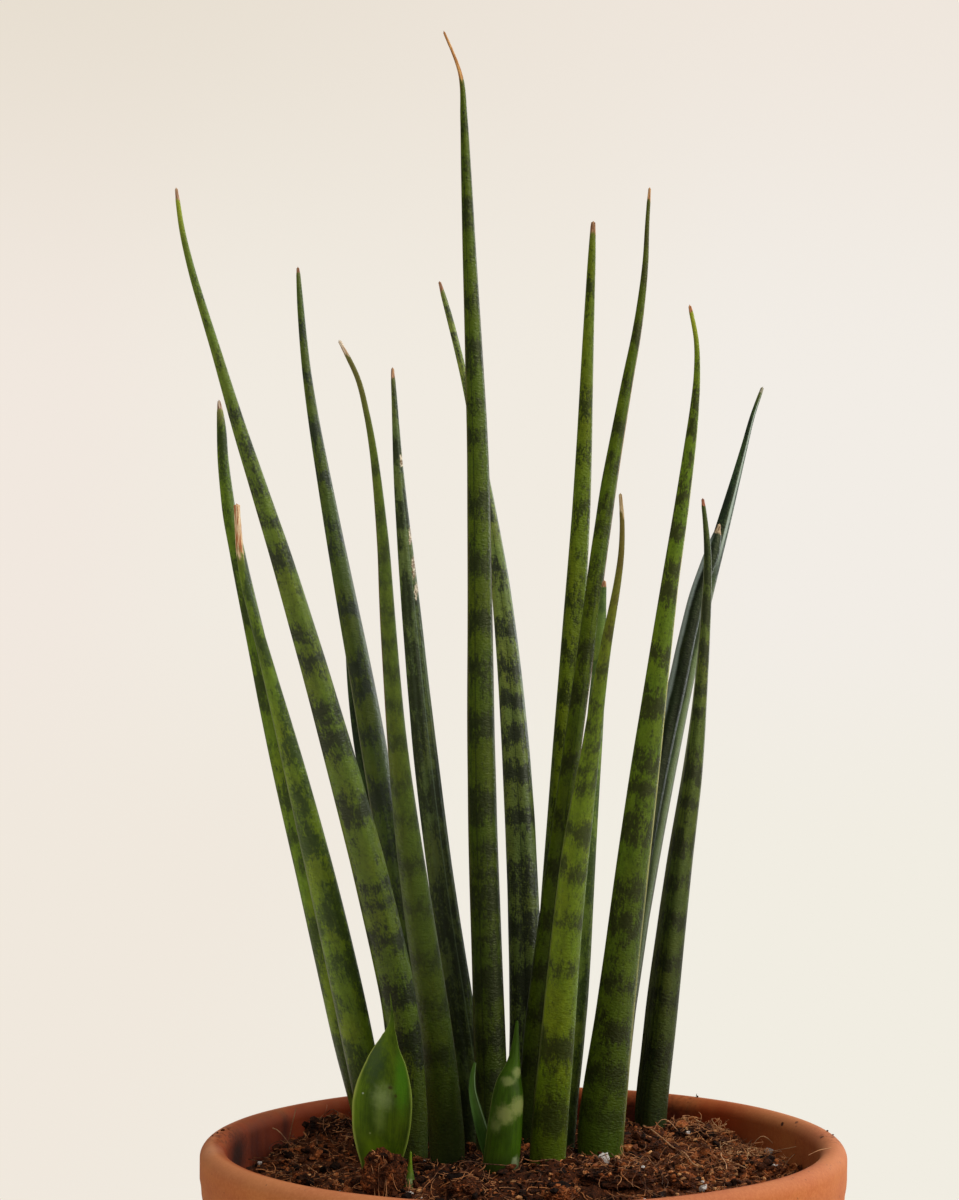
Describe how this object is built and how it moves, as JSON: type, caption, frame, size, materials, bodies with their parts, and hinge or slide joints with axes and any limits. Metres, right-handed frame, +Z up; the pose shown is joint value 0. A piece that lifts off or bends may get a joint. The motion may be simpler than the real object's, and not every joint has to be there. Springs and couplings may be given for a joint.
{
  "type": "potted cylindrical snake plant",
  "caption": "Cylindrical snake plant with upright banded round leaves and young shoots, growing in dark soil in a plain round clay pot.",
  "frame": {"origin": "on the pot's axis, at the foot that it stands on", "axes": "+Z up along the pot's axis; -Y towards the side with the young shoots; +X to the right seen from that side"},
  "size_m": [0.1534, 0.15, 0.3982],
  "materials": {
    "terracotta": "fired clay, matt",
    "soil": "dark peat and coir, damp and crumbly",
    "rhizome": "pale orange-brown rind",
    "leaf_green": "satin, banded light and dark green",
    "leaf_dark": "satin, dark blue-green with faint bands",
    "leaf_light": "satin, yellow-green with dark bands",
    "shoot": "satin, fresh green with pale margins"
  },
  "bodies": {
    "root": {"pot": "terracotta", "soil": "soil", "rhizome": "rhizome", "leaf_01": "leaf_green", "leaf_02": "leaf_green", "leaf_03": "leaf_green", "leaf_04": "leaf_dark", "leaf_05": "leaf_dark", "leaf_06": "leaf_green", "leaf_07": "leaf_dark", "leaf_08": "leaf_green", "leaf_09": "leaf_dark", "leaf_10": "leaf_light", "leaf_11": "leaf_green", "leaf_12": "leaf_green", "leaf_13": "leaf_light", "leaf_14": "leaf_light", "leaf_15": "leaf_dark", "leaf_16": "leaf_dark", "leaf_17": "leaf_dark", "shoot_ovate": "shoot", "shoot_banded": "shoot", "shoot_budding": "shoot"}
  },
  "joints": []
}
